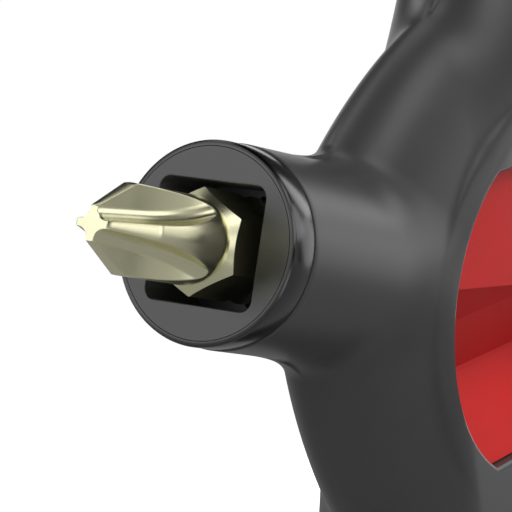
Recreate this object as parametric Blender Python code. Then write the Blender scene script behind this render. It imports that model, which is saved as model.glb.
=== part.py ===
"""Four-arm control cabinet key with a pull-out screwdriver bit, in metres.

Every piece is modelled about the hub centre. In an arm's own axes +X points out of the socket, and the
hub's front, with its sunk cover, faces -Y. The key stands upright on the socket of its lower arm.
"""
import math

import bmesh
import bpy
import numpy as np
from mathutils import Matrix, Vector

MM = 0.001

# Clearances
FIT = 0.30 * MM              # between pieces that seat on or in each other
HEX_FIT = 0.15 * MM          # each flat of the bit to its seat
CUT_OVER = 1.0 * MM          # how far a cutter runs past the face it opens

# Sockets and arms
ARM_REACH = 35.0 * MM        # hub centre to the outer face of a socket
ARM_WALL = 0.60 * MM         # body around a socket's shank
SOCKET_WALL = 0.57 * MM      # shank metal outside the corners of the square mouth
FLAT_WALL = 1.25 * MM        # shank metal between the square mouth and the two driving flats
FLANGE_THICKNESS = 2.3 * MM
FLANGE_STEP = 0.22 * MM      # flange stands in from the arm's surface by this
FLANGE_CHAMFER = 0.20 * MM
SOCKET_FLOOR = 1.0 * MM
SQUARE_WIDTH = 8.3 * MM      # takes an 8 mm square spindle
SQUARE_CORNER = 0.80 * MM
SQUARE_DEPTH = 6.5 * MM
KEY_DEPTH = 12.0 * MM        # depth of the three mouths that hold no bit
TRIANGLE_HEIGHT = 8.0 * MM
TRIANGLE_CORNER = 0.60 * MM
SMALL_SQUARE_WIDTH = 6.2 * MM
SMALL_SQUARE_CORNER = 0.50 * MM
DOUBLE_BIT_BORE = 6.4 * MM
DOUBLE_BIT_SPAN = 10.2 * MM  # over both wings
DOUBLE_BIT_WING = 2.4 * MM   # width of a wing

# Hub
HUB_DIAMETER = 35.8 * MM
HUB_RISE = 0.45 * MM         # hub's front and back flats stand out from the arms by this
HUB_CROWN = 0.28 * MM        # dome above the flats before it is pressed flat
FLAT_SOFTNESS = 0.40 * MM    # how gently the dome runs into the flats
HUB_EDGE_RADIUS = 7.6 * MM
ROOT_LENGTH = 12.2 * MM      # straight part of an arm, measured back from the socket face
BLEND = 8.6 * MM             # softness of the web between hub and arms

# Cover and the pocket under it
COVER_DIAMETER = 25.44 * MM  # opening in the hub
COVER_CUT = 1.57 * MM        # depth of the opening's two straight edges into its circle
COVER_LOW = 0.50 * MM        # opening's middle below the hub's
COVER_TURN = math.radians(16.8)
COVER_SUNK = 0.75 * MM       # upper face of the cover below the hub's flat
COVER_FLOOR = 1.10 * MM      # cover metal left at the valley of its step
STEP_TOP_LEFT = 3.40 * MM    # slanted step, heights across the cover from the hub's middle
STEP_MEET = 4.6 * MM         # where the upper facet has run out, along the cover
STEP_BREAK = 0.57 * MM
STEP_BREAK_DROP = 0.30 * MM  # depth of the upper facet
STEP_FACET_LEFT = 0.02 * MM  # width that the upper facet keeps
STEP_VALLEY = -4.0 * MM
STEP_HOLLOW = 0.15           # share of the lower face that is hollow next to the valley
PEG_DIAMETER = 1.0 * MM
PEG_LENGTH = 3.0 * MM
PEG_TURN = math.radians(45.0)
POCKET_LEDGE = 2.15 * MM     # hub metal that the cover's straight edges rest on
POCKET_CORNER = 6.0 * MM     # at most; a pin's end keeps its room in a smaller pocket
POCKET_CLEARANCE = 0.60 * MM

# Studs and pins that keep the sockets in
STUD_DIAMETER = 4.8 * MM
STUD_END_WALL = 0.90 * MM
PIN_DIAMETER = 1.6 * MM
PIN_LENGTH = 6.6 * MM
PIN_END_ROOM = 0.30 * MM     # how much of a pin's end may lie along the pocket's corner

# Bit and magnet
BIT_LENGTH = 25.0 * MM
BIT_TIP_LENGTH = 11.87 * MM  # shoulder of the hexagon to the tip
BIT_STAND = 1.48 * MM        # shoulder of the hexagon above the socket face
HEX_WIDTH = 6.35 * MM        # across flats
HEX_CHAMFER = math.radians(30.0)
HEX_NOTCH_PLACE = 5.5 * MM   # retention notches behind the shoulder
HEX_NOTCH_WIDTH = 1.5 * MM
HEX_NOTCH_DEPTH = 0.30 * MM
NECK_STEP = 0.35 * MM        # round neck is thinner than the hexagon by this
TIP_DIAMETER = 2.32 * MM
TIP_CONE = math.radians(26.5)
WING_WIDTH = 0.50 * MM       # of a wing at the tip
FLUTE_SLOPE = 0.10           # rise of a flute's floor along the bit
FLUTE_STRAIGHT = 6.2 * MM    # length before a flute curves out
FLUTE_LENGTH = 10.75 * MM
FLUTE_ROUND = 0.85 * MM      # hollow along a flute's deepest line
MAGNET_STEP = 0.35 * MM      # disc magnet is smaller than the hexagon by this
MAGNET_THICKNESS = 2.0 * MM
SEAT_WALL = 1.2 * MM         # shank metal around and behind the hexagon seat

# Facets
ROUND_STEPS = 40
CORNER_STEPS = 4
ARM_COLUMNS = 40
ARM_LOOPS = 14
RELAX_ROUNDS = 6             # evening out of the body's facets
FLUTE_COLUMNS = 11
FLUTE_RINGS = 14
CONE_RINGS = 5
HOLLOW_STEPS = 7

# Worked out from the sizes above
SQUARE_REACH = (SQUARE_WIDTH / 2 - SQUARE_CORNER) * math.sqrt(2) + SQUARE_CORNER
SHANK_RADIUS = SQUARE_REACH + SOCKET_WALL
SHANK_FLAT = SQUARE_WIDTH / 2 + FLAT_WALL
ARM_RADIUS = SHANK_RADIUS + FIT + ARM_WALL
HALF_HUB = ARM_RADIUS + HUB_RISE
ARM_ROOT = ARM_REACH - ROOT_LENGTH
ARM_END = ARM_REACH - FLANGE_THICKNESS - FIT
FLANGE_RADIUS = ARM_RADIUS - FLANGE_STEP
HEX_SEAT_WIDTH = HEX_WIDTH + 2 * HEX_FIT
NECK_DIAMETER = HEX_WIDTH - NECK_STEP
MAGNET_DIAMETER = HEX_WIDTH - MAGNET_STEP
HEX_SEAT_SHANK = HEX_SEAT_WIDTH / 2 / math.cos(math.pi / 6) + SEAT_WALL
HEX_REACH = HEX_WIDTH / 2 / math.cos(math.pi / 6)
HEX_CHAMFER_LENGTH = (HEX_REACH - NECK_DIAMETER / 2) * math.tan(HEX_CHAMFER)
BIT_SHOULDER = ARM_REACH + BIT_STAND
BIT_TIP = BIT_SHOULDER + BIT_TIP_LENGTH
BIT_REAR = BIT_TIP - BIT_LENGTH
MAGNET_FACE = BIT_REAR - FIT
MAGNET_BACK = MAGNET_FACE - MAGNET_THICKNESS
MAGNET_FLOOR = MAGNET_BACK - FIT
SEAT_END = MAGNET_FLOOR - SEAT_WALL
STUD_RADIUS = STUD_DIAMETER / 2
PIN_RADIUS = PIN_DIAMETER / 2
COVER_FLAT = COVER_DIAMETER / 2 - COVER_CUT
POCKET_HALF = COVER_FLAT - POCKET_LEDGE
POCKET_DEPTH = STUD_RADIUS + POCKET_CLEARANCE
PIN_PLACE = POCKET_HALF - FIT - PIN_RADIUS
STUD_END = PIN_PLACE - PIN_RADIUS - STUD_END_WALL
COVER_FACE = HALF_HUB - COVER_SUNK
COVER_BACK = POCKET_DEPTH + FIT
COVER_THICKNESS = COVER_FACE - COVER_BACK
STEP_DROP = COVER_THICKNESS - COVER_FLOOR
POCKET_ROUND = min(POCKET_CORNER, POCKET_HALF - PIN_LENGTH / 2 + PIN_END_ROOM)
POCKET_REACH = (POCKET_HALF - POCKET_ROUND) * math.sqrt(2) + POCKET_ROUND
PEG_PLACE = (POCKET_REACH + COVER_DIAMETER / 2 - FIT) / 2
CROSS_CENTRE = Vector(((BIT_TIP - ARM_REACH) / 2, 0, ARM_REACH))

ARM_TURNS = {"right": 0.0, "upper": 90.0, "left": 180.0, "lower": 270.0}


def clear_scene():
    """Remove whatever the scene holds."""
    for item in list(bpy.data.objects):
        bpy.data.objects.remove(item, do_unlink=True)


def material(name, colour, roughness, metallic):
    """A plain finish with its own colour, roughness and metallic value."""
    finish = bpy.data.materials.new(name)
    finish.use_nodes = True
    shader = finish.node_tree.nodes["Principled BSDF"]
    shader.inputs["Base Color"].default_value = (*colour, 1.0)
    shader.inputs["Roughness"].default_value = roughness
    shader.inputs["Metallic"].default_value = metallic
    return finish


def empty(name, place, turn, parent=None):
    """An empty that carries pieces; turn lifts +X towards +Z about the hub's front axis."""
    item = bpy.data.objects.new(name, None)
    item.location = place
    item.rotation_euler = (0.0, -turn, 0.0)
    item.parent = parent
    bpy.context.scene.collection.objects.link(item)
    return item


def add_piece(name, shape, parent, finish=None):
    """Turn a bmesh into an object; a piece with no finish is a cutter."""
    bmesh.ops.recalc_face_normals(shape, faces=shape.faces)
    mesh = bpy.data.meshes.new(name)
    shape.to_mesh(mesh)
    shape.free()
    item = bpy.data.objects.new(name, mesh)
    item.parent = parent
    bpy.context.scene.collection.objects.link(item)
    if finish is None:
        item.hide_render = True
        item.display_type = "WIRE"
    else:
        mesh.materials.append(finish)
        mesh.shade_smooth()
        mesh.set_sharp_from_angle(angle=math.radians(30))
    return item


def boolean(target, tool, operation="DIFFERENCE"):
    """Cut or join a piece with another object."""
    step = target.modifiers.new(tool.name, "BOOLEAN")
    step.operation = operation
    step.object = tool


def loft(rings):
    """A closed solid through rings of equally many points, with a flat face at each end."""
    shape = bmesh.new()
    loops = [[shape.verts.new(point) for point in ring] for ring in rings]
    count = len(rings[0])
    for low, high in zip(loops, loops[1:]):
        for column in range(count):
            after = (column + 1) % count
            shape.faces.new((low[column], low[after], high[after], high[column]))
    shape.faces.new(loops[0])
    shape.faces.new(loops[-1])
    return shape


def turned(profile, steps=ROUND_STEPS):
    """A solid turned about +X from (x, radius) pairs."""
    angles = [2 * math.pi * step / steps for step in range(steps)]
    return loft([[(x, r * math.cos(a), r * math.sin(a)) for a in angles] for x, r in profile])


def bar(outline, low, high):
    """An outline in (y, z) drawn out along X."""
    return loft([[(x, y, z) for y, z in outline] for x in (low, high)])


def plate(outline, low, high):
    """An outline in (x, z) drawn out along Y."""
    return loft([[(x, y, z) for x, z in outline] for y in (low, high)])


def round_outline(radius, steps=ROUND_STEPS):
    """Points on a circle."""
    return [(radius * math.cos(2 * math.pi * n / steps), radius * math.sin(2 * math.pi * n / steps))
            for n in range(steps)]


def rounded(corners, radius):
    """A convex outline with each corner replaced by an arc."""
    points = []
    count = len(corners)
    for index, corner in enumerate(corners):
        here = Vector(corner)
        before = (Vector(corners[index - 1]) - here).normalized()
        after = (Vector(corners[(index + 1) % count]) - here).normalized()
        half = before.angle(after) / 2
        centre = here + (before + after).normalized() * radius / math.sin(half)
        spoke = here + before * radius / math.tan(half) - centre
        sweep = math.pi - 2 * half
        for step in range(CORNER_STEPS + 1):
            points.append(tuple(centre + Matrix.Rotation(sweep * step / CORNER_STEPS, 2) @ spoke))
    return points


def square_outline(width, corner):
    """A rounded square about the axis."""
    half = width / 2
    return rounded([(half, -half), (half, half), (-half, half), (-half, -half)], corner)


def triangle_outline(height, corner):
    """A rounded triangle about the axis, one corner towards +Z."""
    reach = height * 2 / 3
    turns = [math.radians(90 + 120 * n) for n in range(3)]
    return rounded([(reach * math.cos(t), reach * math.sin(t)) for t in turns], corner)


def double_bit_outline():
    """A round bore with two opposite wings."""
    bore = DOUBLE_BIT_BORE / 2
    half_wing = DOUBLE_BIT_WING / 2
    wing = math.asin(half_wing / bore)
    steps = 2 * CORNER_STEPS
    side = [wing + (math.pi - 2 * wing) * n / steps for n in range(steps + 1)]
    arc = [(bore * math.cos(a), bore * math.sin(a)) for a in side]
    reach = DOUBLE_BIT_SPAN / 2
    upper = [(reach, half_wing)] + arc + [(-reach, half_wing)]
    return upper + [(-y, -z) for y, z in upper]


def hexagon(width):
    """A hexagon with a corner up and a corner down."""
    reach = width / 2 / math.cos(math.pi / 6)
    turns = [math.radians(90 + 60 * n) for n in range(6)]
    return [(reach * math.cos(t), reach * math.sin(t)) for t in turns]


def flatted(radius, flat):
    """A circle in (y, z) with two driving flats, at +Z and -Z."""
    return [(y, max(-flat, min(flat, z))) for y, z in round_outline(radius)]


def soft_least(a, b, softness):
    """The smaller of two distances, rounded where they are alike."""
    share = np.clip(0.5 + 0.5 * (b - a) / softness, 0.0, 1.0)
    return b * (1 - share) + a * share - softness * share * (1 - share)


def body_distance(points):
    """Distance to the body's skin: a round-edged hub softly joined to four arms, flat front and back."""
    x, y, z = points.T
    over_edge = np.hypot(x, z) - (HUB_DIAMETER / 2 - HUB_EDGE_RADIUS)
    over_face = np.abs(y) - (HALF_HUB + HUB_CROWN - HUB_EDGE_RADIUS)
    outside = np.hypot(np.maximum(over_edge, 0), np.maximum(over_face, 0))
    hub = outside + np.minimum(np.maximum(over_edge, over_face), 0) - HUB_EDGE_RADIUS
    shorts = [np.minimum(np.abs(along) - ARM_ROOT, 0) for along in (x, z)]
    arms = [np.sqrt(short ** 2 + y ** 2 + across ** 2) - ARM_RADIUS for short, across in zip(shorts, (z, x))]
    joined = soft_least(hub, np.minimum(*arms), BLEND)
    return -soft_least(-joined, HALF_HUB - np.abs(y), FLAT_SOFTNESS)


def settle(points):
    """Move points onto the body's skin along its slope."""
    reach = 0.01 * MM
    for _ in range(12):
        slope = np.stack([(body_distance(points + step) - body_distance(points - step)) / (2 * reach)
                          for step in np.eye(3) * reach], axis=1)
        points = points - body_distance(points)[:, None] * slope / (slope ** 2).sum(axis=1)[:, None]
    return points


def arm_skin():
    """Rings of one arm in its own axes, from the planes it shares with its neighbours to its end."""
    angles = 2 * np.pi * np.arange(ARM_COLUMNS) / ARM_COLUMNS
    side = HUB_DIAMETER / 2 / math.sqrt(2) * np.sin(angles)
    root = np.stack([np.abs(side), -HALF_HUB * np.cos(angles), side], axis=1)
    end = np.stack([np.full(ARM_COLUMNS, ARM_END), -ARM_RADIUS * np.cos(angles),
                    ARM_RADIUS * np.sin(angles)], axis=1)
    shares = np.linspace(0, 1, ARM_LOOPS) ** 1.25
    return [settle(root * (1 - share) + end * share) for share in shares]


def body_blank():
    """The body before it is cut: four arms of rings that meet on the hub's diagonals."""
    shape = bmesh.new()
    rings = arm_skin()
    for turn in ARM_TURNS.values():
        swing = Matrix.Rotation(-math.radians(turn), 3, "Y")
        loops = [[shape.verts.new(swing @ Vector(point)) for point in ring] for ring in rings]
        for low, high in zip(loops, loops[1:]):
            for column in range(ARM_COLUMNS):
                after = (column + 1) % ARM_COLUMNS
                shape.faces.new((low[column], low[after], high[after], high[column]))
        shape.faces.new(loops[-1])
    bmesh.ops.remove_doubles(shape, verts=shape.verts, dist=0.001 * MM)
    inner = [vert for vert in shape.verts if max(abs(vert.co.x), abs(vert.co.z)) < ARM_END - CUT_OVER]
    for _ in range(RELAX_ROUNDS):
        bmesh.ops.smooth_vert(shape, verts=inner, factor=0.5,
                              use_axis_x=True, use_axis_y=True, use_axis_z=True)
        for vert, point in zip(inner, settle(np.array([vert.co for vert in inner]))):
            vert.co = point
    return shape


def cover_outline(inset):
    """Two arcs joined by two straight edges, turned to the cover's slant."""
    radius = COVER_DIAMETER / 2 - inset
    flat = COVER_FLAT - inset
    swing = math.asin(flat / radius)
    turns = [-swing + 2 * swing * n / (ROUND_STEPS // 2) for n in range(ROUND_STEPS // 2 + 1)]
    right = [(radius * math.cos(t), radius * math.sin(t)) for t in turns]
    points = right + [(-x, -z) for x, z in right]
    slant = Matrix.Rotation(COVER_TURN, 2)
    return [tuple(slant @ Vector(point) - Vector((0, COVER_LOW))) for point in points]


def shank_end(has_bit):
    """Inner end of a socket's wide shank."""
    return ARM_REACH - (SQUARE_DEPTH if has_bit else KEY_DEPTH) - SOCKET_FLOOR


def socket_bore(name, arm, has_bit):
    """Cutters for the space in the body that one socket fills."""
    wide = bar(flatted(SHANK_RADIUS + FIT, SHANK_FLAT + FIT), shank_end(has_bit) - FIT, ARM_END + CUT_OVER)
    stud = turned([(POCKET_HALF - CUT_OVER, STUD_RADIUS + FIT), (shank_end(has_bit), STUD_RADIUS + FIT)])
    tools = [add_piece(name + "_bore", wide, arm), add_piece(name + "_stud_hole", stud, arm)]
    if has_bit:
        seat = bar(flatted(HEX_SEAT_SHANK + FIT, SHANK_FLAT + FIT), SEAT_END - FIT, shank_end(True))
        tools.append(add_piece(name + "_seat_bore", seat, arm))
    return tools


def make_body(centre, arms, sockets, finish):
    """Hub and arms, opened for the cover, the pocket under it, the sockets and the cover's pegs."""
    body = add_piece("key_body", body_blank(), centre, finish)
    boolean(body, add_piece("cover_opening", plate(cover_outline(0), -HALF_HUB - CUT_OVER, -POCKET_DEPTH),
                            centre))
    pocket = plate(square_outline(2 * POCKET_HALF, POCKET_ROUND), -POCKET_DEPTH - CUT_OVER, POCKET_DEPTH)
    boolean(body, add_piece("pin_pocket", pocket, centre))
    for name, side, _, has_bit in sockets:
        for tool in socket_bore(name, arms[side], has_bit):
            boolean(body, tool)
    for side in (0, 1):
        hole = plate(peg_outline(side, PEG_DIAMETER / 2 + FIT), -POCKET_DEPTH - CUT_OVER,
                     -COVER_BACK + PEG_LENGTH + FIT)
        boolean(body, add_piece(f"peg_hole_{side}", hole, centre))


def peg_outline(side, radius):
    """A round peg's outline where the cover is pegged to the hub."""
    turn = PEG_TURN + side * math.pi
    return [(PEG_PLACE * math.cos(turn) + x, PEG_PLACE * math.sin(turn) + z)
            for x, z in round_outline(radius, ROUND_STEPS // 2)]


def step_line(top):
    """Height and depth of the cover's step: a facet, a wall to the valley, then a hollow that climbs again."""
    above = -COVER_FACE - CUT_OVER
    edge = -COVER_FLAT - COVER_LOW
    valley = -COVER_FACE + STEP_DROP
    line = [(top, above), (top, -COVER_FACE), (STEP_BREAK, -COVER_FACE + STEP_BREAK_DROP)]
    for step in range(HOLLOW_STEPS + 1):
        share = (step / HOLLOW_STEPS) ** 2
        climb = (share - STEP_HOLLOW * (1 - math.exp(-share / STEP_HOLLOW))) / (1 - STEP_HOLLOW)
        line.append((STEP_VALLEY + (edge - STEP_VALLEY) * share, valley - STEP_DROP * climb))
    return line + [(edge, above)]


def make_cover(centre, finish):
    """Red cover: a slanted step breaks its face over a facet and a wall into a valley, then climbs again."""
    cover = add_piece("hub_cover", plate(cover_outline(FIT), -COVER_FACE, -COVER_BACK), centre, finish)
    reach = COVER_DIAMETER / 2
    least = STEP_BREAK + STEP_FACET_LEFT
    slant = Matrix.Rotation(-COVER_TURN, 3, "Y")
    rings = [[slant @ Vector((x, y, z)) for z, y in step_line(top)]
             for x, top in ((-reach, STEP_TOP_LEFT), (STEP_MEET, least), (reach, least))]
    boolean(cover, add_piece("cover_step", loft(rings), centre))
    for side in (0, 1):
        peg = plate(peg_outline(side, PEG_DIAMETER / 2), -COVER_BACK - COVER_FLOOR / 2,
                    -COVER_BACK + PEG_LENGTH)
        boolean(cover, add_piece(f"cover_peg_{side}", peg, centre), "UNION")


def make_socket(name, arm, outline, has_bit, finish):
    """Flanged socket: shank with two driving flats, mouth, and a stud with a hole for its pin."""
    end = shank_end(has_bit)
    back = ARM_REACH - FLANGE_THICKNESS
    flange = turned([(back, FLANGE_RADIUS), (ARM_REACH - FLANGE_CHAMFER, FLANGE_RADIUS),
                     (ARM_REACH, FLANGE_RADIUS - FLANGE_CHAMFER)])
    socket = add_piece(name, flange, arm, finish)
    shank = bar(flatted(SHANK_RADIUS, SHANK_FLAT), end, back + FLANGE_THICKNESS / 2)
    boolean(socket, add_piece(name + "_shank", shank, arm), "UNION")
    stud_start = SEAT_END if has_bit else end
    if has_bit:
        seat = bar(flatted(HEX_SEAT_SHANK, SHANK_FLAT), SEAT_END, end + SOCKET_FLOOR / 2)
        boolean(socket, add_piece(name + "_seat_shank", seat, arm), "UNION")
    stud = turned([(STUD_END, STUD_RADIUS), (stud_start + SOCKET_FLOOR / 2, STUD_RADIUS)])
    boolean(socket, add_piece(name + "_stud", stud, arm), "UNION")
    mouth = bar(outline, end + SOCKET_FLOOR, ARM_REACH + CUT_OVER)
    boolean(socket, add_piece(name + "_mouth", mouth, arm))
    if has_bit:
        hexagon_seat = bar(hexagon(HEX_SEAT_WIDTH), MAGNET_FACE, ARM_REACH)
        boolean(socket, add_piece(name + "_hexagon", hexagon_seat, arm))
        magnet_bore = MAGNET_DIAMETER / 2 + FIT
        magnet_hole = turned([(MAGNET_FLOOR, magnet_bore), (BIT_REAR, magnet_bore)])
        boolean(socket, add_piece(name + "_magnet_hole", magnet_hole, arm))
    pin_hole = pin_shape(PIN_RADIUS + FIT, STUD_DIAMETER)
    boolean(socket, add_piece(name + "_pin_hole", pin_hole, arm))


def pin_shape(radius, length):
    """A round bar across an arm's stud, along the arm's Z."""
    ring = round_outline(radius, ROUND_STEPS // 2)
    return loft([[(PIN_PLACE + x, y, z) for x, y in ring] for z in (-length / 2, length / 2)])


def half_wing(back):
    """Half the width of a wing, at a distance back from the tip."""
    even = WING_WIDTH / 2 + FLUTE_SLOPE * back / math.sqrt(2)
    full = WING_WIDTH / 2 + FLUTE_SLOPE * FLUTE_LENGTH / math.sqrt(2)
    gone = (NECK_DIAMETER / 2 + FLUTE_ROUND) / math.sqrt(2) - FLUTE_ROUND
    curve = max(back - FLUTE_STRAIGHT, 0.0) / (FLUTE_LENGTH - FLUTE_STRAIGHT)
    return even + (gone - full) * curve ** 2


def flute_point(along, half):
    """A point of a flute's wall, at a distance from the flute's deepest line."""
    centre = half + FLUTE_ROUND
    turn = math.pi / 4 - along / FLUTE_ROUND
    if turn < 0:
        return (centre - turn * FLUTE_ROUND, half)
    return (centre - FLUTE_ROUND * math.sin(turn), centre - FLUTE_ROUND * math.cos(turn))


def flute_end(outer, half):
    """How far a flute's wall runs from the deepest line to the outside."""
    centre = half + FLUTE_ROUND
    if outer > math.hypot(centre, half):
        return FLUTE_ROUND * math.pi / 4 + math.sqrt(outer ** 2 - half ** 2) - centre
    deep = math.sqrt(2) * centre
    cosine = (deep ** 2 + FLUTE_ROUND ** 2 - outer ** 2) / (2 * deep * FLUTE_ROUND)
    return FLUTE_ROUND * math.acos(min(cosine, 1.0))


def tip_ring(back):
    """One section of the bit's tip: four wings with flutes between them."""
    outer = min(TIP_DIAMETER / 2 + math.tan(TIP_CONE) * back, NECK_DIAMETER / 2)
    half = half_wing(min(back, FLUTE_LENGTH))
    end = flute_end(outer, half)
    quarter = [(outer, 0.0)]
    for column in range(FLUTE_COLUMNS):
        share = 2 * column / (FLUTE_COLUMNS - 1) - 1
        point = flute_point(abs(share) * end, half)
        turn = math.atan2(point[1], point[0])
        if end == 0:
            turn = math.pi / 4 - abs(share) * math.pi / 8
        far = min(math.hypot(*point), outer)
        quarter.append((far, turn if share < 0 else math.pi / 2 - turn))
    ring = [(r, a + number * math.pi / 2) for number in range(4) for r, a in quarter]
    return [(BIT_TIP - back, r * math.cos(a), r * math.sin(a)) for r, a in ring]


def make_bit(arm, finish):
    """Cross-head bit: chamfered hexagon with corner notches, round neck, and the fluted tip."""
    cone = (TIP_DIAMETER / 2, NECK_DIAMETER / 2)
    cone_length = (cone[1] - cone[0]) / math.tan(TIP_CONE)
    stations = [cone_length * n / CONE_RINGS for n in range(CONE_RINGS + 1)]
    stations += [cone_length + (FLUTE_LENGTH - cone_length) * n / FLUTE_RINGS for n in range(1, FLUTE_RINGS + 1)]
    rings = [tip_ring(back) for back in stations]
    rings.append(tip_ring(BIT_TIP_LENGTH + HEX_CHAMFER_LENGTH * 2))
    bit = add_piece("phillips_bit", loft(rings), arm, finish)
    blank = add_piece("bit_hexagon", bar(hexagon(HEX_WIDTH), BIT_REAR, BIT_SHOULDER), arm)
    chamfered = turned([(BIT_REAR, NECK_DIAMETER / 2), (BIT_REAR + HEX_CHAMFER_LENGTH, HEX_REACH),
                        (BIT_SHOULDER - HEX_CHAMFER_LENGTH, HEX_REACH), (BIT_SHOULDER, NECK_DIAMETER / 2)])
    boolean(blank, add_piece("bit_chamfers", chamfered, arm), "INTERSECT")
    notch = turned_ring(BIT_SHOULDER - HEX_NOTCH_PLACE, HEX_NOTCH_WIDTH, HEX_REACH - HEX_NOTCH_DEPTH,
                        HEX_REACH + CUT_OVER)
    boolean(blank, add_piece("bit_notches", notch, arm))
    boolean(bit, blank, "UNION")


def turned_ring(middle, width, inner, outer):
    """A square-section ring about +X."""
    shape = bmesh.new()
    section = [(-width / 2, inner), (width / 2, inner), (width / 2, outer), (-width / 2, outer)]
    loops = []
    for step in range(ROUND_STEPS):
        a = 2 * math.pi * step / ROUND_STEPS
        loops.append([shape.verts.new((middle + x, r * math.cos(a), r * math.sin(a))) for x, r in section])
    for index, low in enumerate(loops):
        high = loops[(index + 1) % ROUND_STEPS]
        for side in range(4):
            after = (side + 1) % 4
            shape.faces.new((low[side], low[after], high[after], high[side]))
    return shape


def main():
    """Build the key."""
    clear_scene()
    black = material("body_black", (0.050, 0.050, 0.052), 0.45, 0.0)
    red = material("cover_red", (0.50, 0.028, 0.028), 0.45, 0.0)
    steel = material("socket_steel", (0.090, 0.090, 0.092), 0.32, 0.9)
    gold = material("bit_nickel", (0.62, 0.58, 0.42), 0.25, 1.0)
    pin_steel = material("pin_steel", (0.45, 0.45, 0.46), 0.35, 1.0)
    magnet_nickel = material("magnet_nickel", (0.60, 0.60, 0.60), 0.25, 1.0)

    centre = empty("key_centre", CROSS_CENTRE, 0.0)
    arms = {side: empty(f"arm_{side}", (0, 0, 0), math.radians(turn), centre)
            for side, turn in ARM_TURNS.items()}
    small_square = square_outline(SMALL_SQUARE_WIDTH, SMALL_SQUARE_CORNER)
    sockets = [("square_socket", "left", square_outline(SQUARE_WIDTH, SQUARE_CORNER), True),
               ("triangle_socket", "upper", triangle_outline(TRIANGLE_HEIGHT, TRIANGLE_CORNER), False),
               ("small_square_socket", "right", small_square, False),
               ("double_bit_socket", "lower", double_bit_outline(), False)]

    make_body(centre, arms, sockets, black)
    make_cover(centre, red)
    for name, side, outline, has_bit in sockets:
        make_socket(name, arms[side], outline, has_bit, steel)
        add_piece(f"socket_pin_{side}", pin_shape(PIN_RADIUS, PIN_LENGTH), arms[side], pin_steel)
    make_bit(arms["left"], gold)
    magnet = turned([(MAGNET_BACK, MAGNET_DIAMETER / 2), (MAGNET_FACE, MAGNET_DIAMETER / 2)])
    add_piece("bit_magnet", magnet, arms["left"], magnet_nickel)


main()
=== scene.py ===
"""Looks of a four-arm cabinet key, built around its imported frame.

Sockets and bit are modelled in an arm's own axes, where +X points out of the socket and the hub's centre is
the origin, and are then turned into their arms and moved to the hub. The hub's front faces -Y.
"""
import contextlib
import math

import bmesh
import bpy
import numpy as np
from mathutils import Matrix, Vector


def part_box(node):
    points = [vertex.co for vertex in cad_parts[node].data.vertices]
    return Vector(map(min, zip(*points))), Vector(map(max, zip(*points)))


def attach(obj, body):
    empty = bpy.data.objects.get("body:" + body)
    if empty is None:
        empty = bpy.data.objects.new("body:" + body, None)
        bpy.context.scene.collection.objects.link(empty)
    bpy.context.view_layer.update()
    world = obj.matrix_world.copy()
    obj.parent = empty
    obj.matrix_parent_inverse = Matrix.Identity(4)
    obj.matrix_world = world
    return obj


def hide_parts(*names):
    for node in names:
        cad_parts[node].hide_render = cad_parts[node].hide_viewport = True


bl_info = {
    "name": "Cabinet Key",
    "version": (1, 0, 0),
    "blender": (4, 5, 0),
    "location": "View3D > Sidebar > Cabinet Key",
    "description": "Models a four-arm cabinet key with a pull-out bit and its white studio",
    "category": "Add Mesh",
}

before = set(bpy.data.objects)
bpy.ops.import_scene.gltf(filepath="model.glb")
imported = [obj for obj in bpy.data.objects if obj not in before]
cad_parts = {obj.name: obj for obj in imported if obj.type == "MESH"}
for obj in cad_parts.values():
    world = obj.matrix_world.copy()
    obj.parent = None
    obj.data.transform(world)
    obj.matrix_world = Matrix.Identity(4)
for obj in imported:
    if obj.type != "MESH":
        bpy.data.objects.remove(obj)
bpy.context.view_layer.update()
MM = 0.001

# Places that come from the frame
BODY_LOW, BODY_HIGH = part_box("key_body")
HUB_CENTRE = (BODY_LOW + BODY_HIGH) / 2
ARM_END = (BODY_HIGH.x - BODY_LOW.x) / 2
ARM_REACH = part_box("triangle_socket")[1].z - HUB_CENTRE.z
BIT_TIP = HUB_CENTRE.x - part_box("phillips_bit")[0].x
BIT_REAR = HUB_CENTRE.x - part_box("phillips_bit")[1].x
ARM_TURNS = {"right": 0.0, "upper": math.radians(90), "left": math.radians(180), "lower": math.radians(270)}
BIT_SIDE = "left"

# Shared by all cuts, bevels and selections
CUT_OVER = 1.0 * MM
CUT_MERGE = 1e-7
MERGE = 0.002 * MM
SLIVER = MERGE / 10
NEAR = 0.01 * MM
VERY_NEAR = 0.001 * MM
FACING = 0.99
PARALLEL = 0.999
SHARP = math.radians(40)
SHADE_ANGLE = math.radians(28)
ROUND_SIDES = 160
FINE_SIDES = 256
SMALL_SIDES = 48
CORNER_SEGMENTS = 8


def length(name, text, millimetres):
    """A size in metres, given in millimetres and shown to a tenth of a micron."""
    return bpy.props.FloatProperty(
        name=name, description=text, default=millimetres * MM, min=0.0, unit="LENGTH", precision=7)


def degrees(name, text, turn):
    """An angle, given in degrees."""
    return bpy.props.FloatProperty(name=name, description=text, default=math.radians(turn), subtype="ANGLE")


def number(name, text, default):
    """A plain number."""
    return bpy.props.FloatProperty(name=name, description=text, default=default, min=0.0)


def colour(name, text, default):
    """A linear colour."""
    return bpy.props.FloatVectorProperty(
        name=name, description=text, default=default, size=3, min=0.0, max=1.0, subtype="COLOR")


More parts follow.
